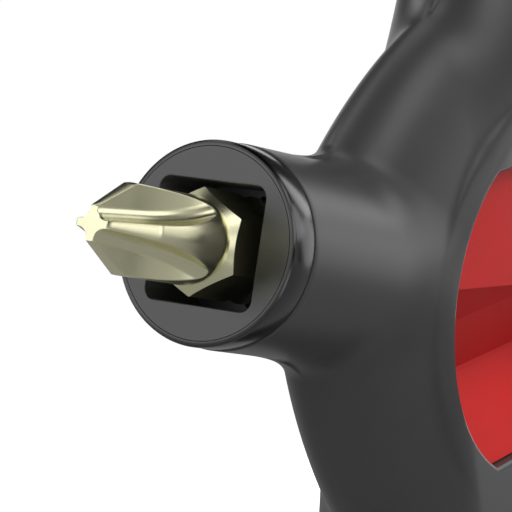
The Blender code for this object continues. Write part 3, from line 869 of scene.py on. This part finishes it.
def fluted_tip(bit):
    """A round drawn back from the tip by extruding, its rings then shaped to the fluted section."""
    count = len(section(0.0, bit))
    places = stations(bit)
    bpy.ops.mesh.primitive_circle_add(
        vertices=count, radius=START_RADIUS, fill_type="NGON", rotation=(0, math.pi / 2, 0))
    item = added("driver_bit")
    with editing(item):
        bpy.ops.mesh.select_all(action="SELECT")
        for before, place in zip(places, places[1:]):
            extrude((before - place, 0, 0))
    rings = [section(place, bit) for place in places]
    step = 2 * math.pi / count
    for vertex in item.data.vertices:
        ring = int(np.argmin([abs(vertex.co.x + place) for place in places]))
        column = round(math.atan2(vertex.co.z, vertex.co.y) / step) % count
        y, z = rings[ring][column]
        if ring < len(TIP_ROUNDING):
            share = 1 - TIP_ROUNDING[ring] / math.hypot(y, z)
            y *= share
            z *= share
        vertex.co = (BIT_TIP - places[ring], y, z)
    clean(item)
    return item


NOTCH_PLACE = 5.5 * MM
NOTCH_DEPTH = 0.26 * MM
NOTCH_ROUND = 1.3 * MM
NOTCH_SIDES = 128
HEX_EDGE_ROUND = 0.05 * MM


def hexagon_shank(bit):
    """Hexagon with chamfered ends and a ring of corner notches."""
    reach = corner_reach(bit.hex_width)
    shoulder = BIT_TIP - bit.shoulder
    item = hexagon_bar(BIT_REAR, shoulder, bit.hex_width)
    soften(item, HEX_EDGE_ROUND, lambda edge: runs_along(edge, 0), segments=2)
    slope = (reach - bit.neck_radius + bit.neck_groove) * math.tan(bit.chamfer)
    barrel = cylinder("barrel", BIT_REAR + slope, shoulder - slope, reach + NEAR, sides=FINE_SIDES)
    scale = (bit.neck_radius - bit.neck_groove) / (reach + NEAR)
    with editing(barrel):
        for end, side in ((shoulder - slope, 1), (BIT_REAR + slope, -1)):
            select(barrel, "FACE", lambda face: face.normal.x * side > FACING)
            extrude((side * slope, 0, 0))
            bpy.ops.transform.resize(value=(1, scale, scale), center_override=(end + side * slope, 0, 0))
    combine(item, barrel, "INTERSECT")
    bpy.ops.mesh.primitive_torus_add(
        major_radius=reach - NOTCH_DEPTH + NOTCH_ROUND, minor_radius=NOTCH_ROUND, major_segments=NOTCH_SIDES,
        minor_segments=SMALL_SIDES, rotation=(0, math.pi / 2, 0), location=(shoulder - NOTCH_PLACE, 0, 0))
    combine(item, added("notch"))
    clean(item)
    return item


class KEY_OT_bit(bpy.types.Operator):
    """Model the cross-head bit"""
    bl_idname = "cabinet_key.bit"
    bl_label = "Bit"

    def execute(self, context):
        """Fluted tip joined to the hexagon, and finish."""
        bit = context.scene.key_bit_sizes
        item = fluted_tip(bit)
        combine(item, hexagon_shank(bit), "UNION")
        clean(item)
        with editing(item):
            select(item, "FACE", lambda face: face.calc_center_median().x > BIT_TIP - VERY_NEAR)
            bpy.ops.mesh.faces_shade_flat()
        to_arm(item, BIT_SIDE)
        item.data.materials.append(finish("champagne_nickel"))
        hand_over(item, "phillips_bit", "bit")
        return {"FINISHED"}


class KEY_OT_inner_pieces(bpy.types.Operator):
    """Give the pins and the magnet inside the hub their finish"""
    bl_idname = "cabinet_key.inner_pieces"
    bl_label = "Pins and Magnet"

    def execute(self, context):
        """Finishes on the frame's own nodes."""
        for name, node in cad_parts.items():
            if name.startswith("socket_pin") or name == "bit_magnet":
                title = "magnet_plating" if name == "bit_magnet" else "pin_steel_ground"
                node.data.materials.clear()
                node.data.materials.append(finish(title))
        return {"FINISHED"}


def set_inputs(node, values):
    """Set a node's inputs by their names."""
    for name, value in values.items():
        node.inputs[name].default_value = value


def maths(tree, operation, *values):
    """Result of a maths node whose inputs are sockets or numbers."""
    node = tree.nodes.new("ShaderNodeMath")
    node.operation = operation
    for place, value in zip(node.inputs, values):
        if isinstance(value, bpy.types.NodeSocket):
            tree.links.new(value, place)
        else:
            place.default_value = value
    return node.outputs[0]


def noise(tree, scale, detail):
    """A noise over the piece's own coordinates."""
    place = tree.nodes.new("ShaderNodeTexCoord")
    node = tree.nodes.new("ShaderNodeTexNoise")
    node.inputs["Detail"].default_value = detail
    tree.links.new(place.outputs["Object"], node.inputs["Vector"])
    tree.links.new(scale, node.inputs["Scale"])
    return node.outputs["Fac"]


def new_material(name, values):
    """A new material, its node tree and its shader, with inputs of the shader set."""
    made = bpy.data.materials.new(name)
    made.use_nodes = True
    shader = made.node_tree.nodes["Principled BSDF"]
    set_inputs(shader, values)
    return made, made.node_tree, shader


GRAIN = "surface grain"
GRAIN_INPUTS = ("Colour", "Mottle", "Roughness", "Gloss Change", "Scale", "Fine Scale")
GRAIN_OUTPUTS = ("Colour", "Roughness", "Height")
GRAIN_SCALE = 400.0
GRAIN_DETAIL = 4.0
FINE_SCALE = 6000.0
FINE_DETAIL = 3.0
# Each finish by the name of its material, with the height of its grain in millimetres
STEEL = dict(mottle=0.10, gloss_change=0.05, height=0.0003, metallic=1.0)
INNER_METAL = dict(mottle=0.08, gloss_change=0.1, height=0.0004, metallic=1.0)
FINISHES = {
    "satin_black": dict(colour="body_black", roughness=0.35, mottle=0.15, gloss_change=0.06, height=0.0012),
    "red_plastic": dict(
        colour="cover_red", roughness=0.50, mottle=0.10, gloss_change=0.08, height=0.0015, specular=0.12),
    "socket_face": dict(STEEL, colour="socket_steel", roughness=0.30),
    "socket_band": dict(STEEL, colour="band_steel", roughness=0.20),
    "mouth_black": dict(
        colour="mouth_black", roughness=0.45, mottle=0.2, gloss_change=0.1, height=0.001, metallic=0.3),
    "champagne_nickel": dict(
        colour="bit_nickel", roughness=0.24, mottle=0.05, gloss_change=0.08, height=0.0004, metallic=1.0),
    "pin_steel_ground": dict(INNER_METAL, colour="pin_steel", roughness=0.32),
    "magnet_plating": dict(INNER_METAL, colour="magnet_nickel", roughness=0.22),
}


def grain_group():
    """Shared surface variation: mottled colour, uneven gloss and a fine height."""
    if GRAIN in bpy.data.node_groups:
        return bpy.data.node_groups[GRAIN]
    group = bpy.data.node_groups.new(GRAIN, "ShaderNodeTree")
    for way, titles in (("INPUT", GRAIN_INPUTS), ("OUTPUT", GRAIN_OUTPUTS)):
        for title in titles:
            kind = "NodeSocketColor" if title == "Colour" else "NodeSocketFloat"
            group.interface.new_socket(title, in_out=way, socket_type=kind)
    given = group.nodes.new("NodeGroupInput").outputs
    result = group.nodes.new("NodeGroupOutput").inputs
    broad = noise(group, given["Scale"], GRAIN_DETAIL)
    fine = noise(group, given["Fine Scale"], FINE_DETAIL)
    centred = maths(group, "SUBTRACT", broad, 0.5)
    tint = group.nodes.new("ShaderNodeVectorMath")
    tint.operation = "SCALE"
    group.links.new(given["Colour"], tint.inputs[0])
    group.links.new(maths(group, "MULTIPLY_ADD", centred, given["Mottle"], 1.0), tint.inputs["Scale"])
    group.links.new(tint.outputs[0], result["Colour"])
    gloss = maths(group, "MULTIPLY_ADD", centred, given["Gloss Change"], given["Roughness"])
    group.links.new(gloss, result["Roughness"])
    group.links.new(fine, result["Height"])
    return group


def finish(name):
    """The material of a finish: the shared grain with the finish's own values."""
    if name in bpy.data.materials:
        return bpy.data.materials[name]
    row = FINISHES[name]
    made, tree, shader = new_material(name, {
        "Metallic": row.get("metallic", 0.0), "Specular IOR Level": row.get("specular", 0.5)})
    grain = tree.nodes.new("ShaderNodeGroup")
    grain.node_tree = grain_group()
    shade = getattr(bpy.context.scene.key_finishes, row["colour"])
    set_inputs(grain, {"Colour": (*shade, 1.0), "Roughness": row["roughness"], "Mottle": row["mottle"],
                       "Gloss Change": row["gloss_change"], "Scale": GRAIN_SCALE, "Fine Scale": FINE_SCALE})
    tree.links.new(grain.outputs["Colour"], shader.inputs["Base Color"])
    tree.links.new(grain.outputs["Roughness"], shader.inputs["Roughness"])
    relief = tree.nodes.new("ShaderNodeBump")
    set_inputs(relief, {"Distance": row["height"] * MM, "Strength": 1.0})
    tree.links.new(grain.outputs["Height"], relief.inputs["Height"])
    tree.links.new(relief.outputs["Normal"], shader.inputs["Normal"])
    return made


WHITE = (1.0, 1.0, 1.0, 1.0)
BLACK = (0.0, 0.0, 0.0, 1.0)
CAMERA_PLACE = (-211.887 * MM, -117.266 * MM, 30.972 * MM)
CAMERA_RIGHT = (0.51722, -0.84340, 0.14546)
CAMERA_UP = (-0.09057, 0.11506, 0.98922)
SENSOR_WIDTH = 36.0
CLIP_START = 0.01
# Direction from the key and power of each lamp, card and fill
LAMP_REACH = 0.55
LAMP_SIZE = 0.26
LAMP_TARGET = 15 * MM
LAMPS = (
    ("front_left", (-0.60, -0.72, 0.36), 0.27),
    ("above", (0.03, -0.39, 0.92), 0.26),
    ("above_left", (-0.69, -0.40, 0.61), 0.46),
    ("above_front", (-0.30, -0.57, 0.77), 0.20),
    ("above_right_front", (0.31, -0.67, 0.67), 0.07),
    ("above_right", (0.47, -0.30, 0.83), 0.03),
    ("left", (-0.93, -0.30, 0.20), 0.09),
)
FILLS = (
    ("fill_above", (-0.10, -0.42, 0.90), 1.06),
    ("fill_behind", (0.72, 0.60, 0.34), 0.70),
    ("fill_behind_left", (0.10, 0.90, 0.42), 0.60),
)
CARDS = (
    ("card_rim", (1.0, 0.0, 0.06), 0.45),
    ("card_behind_left", (-0.04, 0.92, 0.39), 0.45),
    ("card_right_high", (0.64, -0.64, 0.42), 0.26),
    ("card_right", (0.89, -0.41, 0.17), 0.20),
    ("card_left", (-0.97, 0.25, 0.05), 0.16),
    ("card_star", (-0.85, 0.525, 0.05), 0.17),
    ("card_left_high", (-0.78, 0.55, 0.30), 0.16),
    ("card_viewer", (-0.87, -0.48, 0.05), 0.14),
    ("card_ahead", (0.09, -0.995, 0.05), 0.20),
    ("card_right_top", (0.84, -0.13, 0.53), 0.34),
    ("card_front", (0.21, -0.94, 0.27), 0.135),
    ("card_top_left", (-0.16, 0.58, 0.80), 0.20),
    ("card_top", (0.28, 0.36, 0.89), 0.12),
    ("card_right_low", (0.54, -0.84, 0.02), 0.06),
)
# Place, size and light level of each card that lies on the floor
FLOOR_CARDS = (
    ("card_floor_left", (-0.248, 0.240, 0.0005), 0.29, 1.99),
    ("card_floor_front", (-0.1035, -0.0955, 0.0005), 0.098, 1.06),
)
BACKDROP_WAY = (0.85105, 0.52482, 0.0)
BACKDROP_HALF = math.radians(26)
DRAPE_RADIUS = 0.80
DRAPE_LOW = 0.25 * MM
DRAPE_SEGMENTS = 96
DRAPE_RINGS = 48
FLOOR_SIZE = 6.0
FLOOR_COLOUR = (0.60, 0.60, 0.60, 1.0)
FLOOR_ROUGHNESS = 0.9
FLOOR_IN_GLOSS = 0.31
FLOOR_SHADOW = 0.10
FLOOR_CLEAR = 0.25
FLOOR_NEAR_GLOW = 0.56


def add_camera(studio):
    """The photograph's viewpoint."""
    lens = bpy.data.cameras.new("camera")
    lens.lens = studio.lens
    lens.sensor_width = SENSOR_WIDTH
    lens.clip_start = CLIP_START
    camera = placed("camera", lens)
    right = Vector(CAMERA_RIGHT).normalized()
    up = (Vector(CAMERA_UP) - right * right.dot(Vector(CAMERA_UP))).normalized()
    turn = Matrix((right, up, right.cross(up))).transposed()
    camera.matrix_world = Matrix.Translation(CAMERA_PLACE) @ turn.to_4x4()
    bpy.context.scene.camera = camera


def add_lamps(studio):
    """Soft boxes round the key, cards that only its gloss shows, and fills that the gloss doesn't show."""
    target = Vector((HUB_CENTRE.x - LAMP_TARGET, 0, HUB_CENTRE.z))
    for name, way, power in LAMPS + CARDS + FILLS:
        lamp = bpy.data.lights.new(name, "AREA")
        lamp.shape = "DISK"
        lamp.size = LAMP_SIZE
        lamp.energy = power * studio.lamp_power
        item = placed(name, lamp)
        item.location = target + Vector(way).normalized() * LAMP_REACH
        item.rotation_euler = (-Vector(way)).to_track_quat("-Z", "Y").to_euler()
        item.visible_camera = False
        item.visible_diffuse = not name.startswith("card")
        item.visible_glossy = not name.startswith("fill")


def only_in_gloss(item):
    """Let an object of the stage show in gloss alone."""
    item.visible_camera = False
    item.visible_diffuse = False
    item.visible_transmission = False
    item.visible_shadow = False


def glowing(name, level):
    """A material that gives an even light level."""
    return new_material(name, {"Base Color": BLACK, "Specular IOR Level": 0.0, "Emission Color": WHITE,
                               "Emission Strength": level})[0]


def add_drapes(studio):
    """Dark drapes all round, open towards the backdrop, so that the gloss keeps its depth."""
    bpy.ops.mesh.primitive_uv_sphere_add(segments=DRAPE_SEGMENTS, ring_count=DRAPE_RINGS, radius=DRAPE_RADIUS)
    item = added("drapes")
    slice_off(item, (0, 0, DRAPE_LOW), (0, 0, -1))
    open_way = Vector(BACKDROP_WAY).normalized()
    least = math.cos(BACKDROP_HALF)
    with editing(item):
        select(item, "FACE", lambda face: face.calc_center_median().normalized().dot(open_way) > least)
        bpy.ops.mesh.delete(type="FACE")
    item.data.materials.append(glowing("drape_black", studio.drape_level))
    item.data.materials.append(glowing("floor_cloth", FLOOR_IN_GLOSS))
    for face in item.data.polygons:
        face.material_index = int(face.center.z < 2 * DRAPE_LOW)
    only_in_gloss(item)
    for name, place, size, level in FLOOR_CARDS:
        bpy.ops.mesh.primitive_plane_add(size=size, location=place)
        card = added(name)
        card.data.materials.append(glowing(name, level))
        only_in_gloss(card)


def seen_mask(tree):
    """One where a camera, glossy or transmission ray looks, else zero."""
    path = tree.nodes.new("ShaderNodeLightPath").outputs
    either = maths(tree, "MAXIMUM", path["Is Camera Ray"], path["Is Glossy Ray"])
    return maths(tree, "MAXIMUM", either, path["Is Transmission Ray"])


def white_world(studio):
    """White where it is seen, soft room light elsewhere."""
    world = bpy.data.worlds.new("white_room")
    bpy.context.scene.world = world
    world.use_nodes = True
    tree = world.node_tree
    ground = tree.nodes["Background"]
    ground.inputs["Color"].default_value = WHITE
    level = tree.nodes.new("ShaderNodeMapRange")
    set_inputs(level, {"To Min": studio.room_light, "To Max": 1.0})
    tree.links.new(seen_mask(tree), level.inputs["Value"])
    tree.links.new(level.outputs["Result"], ground.inputs["Strength"])


def add_floor():
    """A wide white floor that keeps the key's shadow."""
    bpy.ops.mesh.primitive_plane_add(size=FLOOR_SIZE)
    floor = added("floor")
    made, tree, shader = new_material("white_floor", {
        "Base Color": FLOOR_COLOUR, "Roughness": FLOOR_ROUGHNESS, "Specular IOR Level": 0.0,
        "Emission Color": WHITE})
    place = tree.nodes.new("ShaderNodeTexCoord")
    away = tree.nodes.new("ShaderNodeVectorMath")
    away.operation = "LENGTH"
    tree.links.new(place.outputs["Object"], away.inputs[0])
    level = tree.nodes.new("ShaderNodeMapRange")
    set_inputs(level, {"From Min": FLOOR_SHADOW, "From Max": FLOOR_CLEAR, "To Min": FLOOR_NEAR_GLOW,
                       "To Max": 1.0})
    tree.links.new(away.outputs["Value"], level.inputs["Value"])
    glow = maths(tree, "MULTIPLY", seen_mask(tree), level.outputs["Result"])
    tree.links.new(glow, shader.inputs["Emission Strength"])
    floor.data.materials.append(made)


class KEY_OT_studio(bpy.types.Operator):
    """Set up the camera, the lamps and the white room"""
    bl_idname = "cabinet_key.studio"
    bl_label = "Studio"

    def execute(self, context):
        """Stage for the photograph's view."""
        studio = context.scene.key_studio
        context.scene.view_settings.view_transform = "Standard"
        add_camera(studio)
        add_lamps(studio)
        add_drapes(studio)
        white_world(studio)
        add_floor()
        return {"FINISHED"}


class KEY_PT_panel(bpy.types.Panel):
    """Lists the steps that build the key"""
    bl_label = "Cabinet Key"
    bl_idname = "KEY_PT_panel"
    bl_space_type = "VIEW_3D"
    bl_region_type = "UI"
    bl_category = "Cabinet Key"

    def draw(self, context):
        """One button for each step."""
        for step in OPERATORS:
            self.layout.operator(step.bl_idname)


GROUPS = {"key_body_sizes": KeyBodySizes, "key_cover_sizes": KeyCoverSizes,
          "key_socket_sizes": KeySocketSizes, "key_bit_sizes": KeyBitSizes, "key_finishes": KeyFinishes,
          "key_studio": KeyStudio}
OPERATORS = (KEY_OT_studio, KEY_OT_body, KEY_OT_cover, KEY_OT_sockets, KEY_OT_bit, KEY_OT_inner_pieces)


def register():
    """Register the classes and hang the property groups on the scene."""
    for item in (*GROUPS.values(), *OPERATORS, KEY_PT_panel):
        bpy.utils.register_class(item)
    for name, group in GROUPS.items():
        setattr(bpy.types.Scene, name, bpy.props.PointerProperty(type=group))


def unregister():
    """Take everything back out."""
    for name in GROUPS:
        delattr(bpy.types.Scene, name)
    for item in (KEY_PT_panel, *reversed(OPERATORS), *GROUPS.values()):
        bpy.utils.unregister_class(item)


def main():
    register()
    bpy.ops.cabinet_key.studio()
    bpy.ops.cabinet_key.body()
    bpy.ops.cabinet_key.cover()
    bpy.ops.cabinet_key.sockets()
    bpy.ops.cabinet_key.bit()
    bpy.ops.cabinet_key.inner_pieces()


if __name__ == "__main__":
    main()
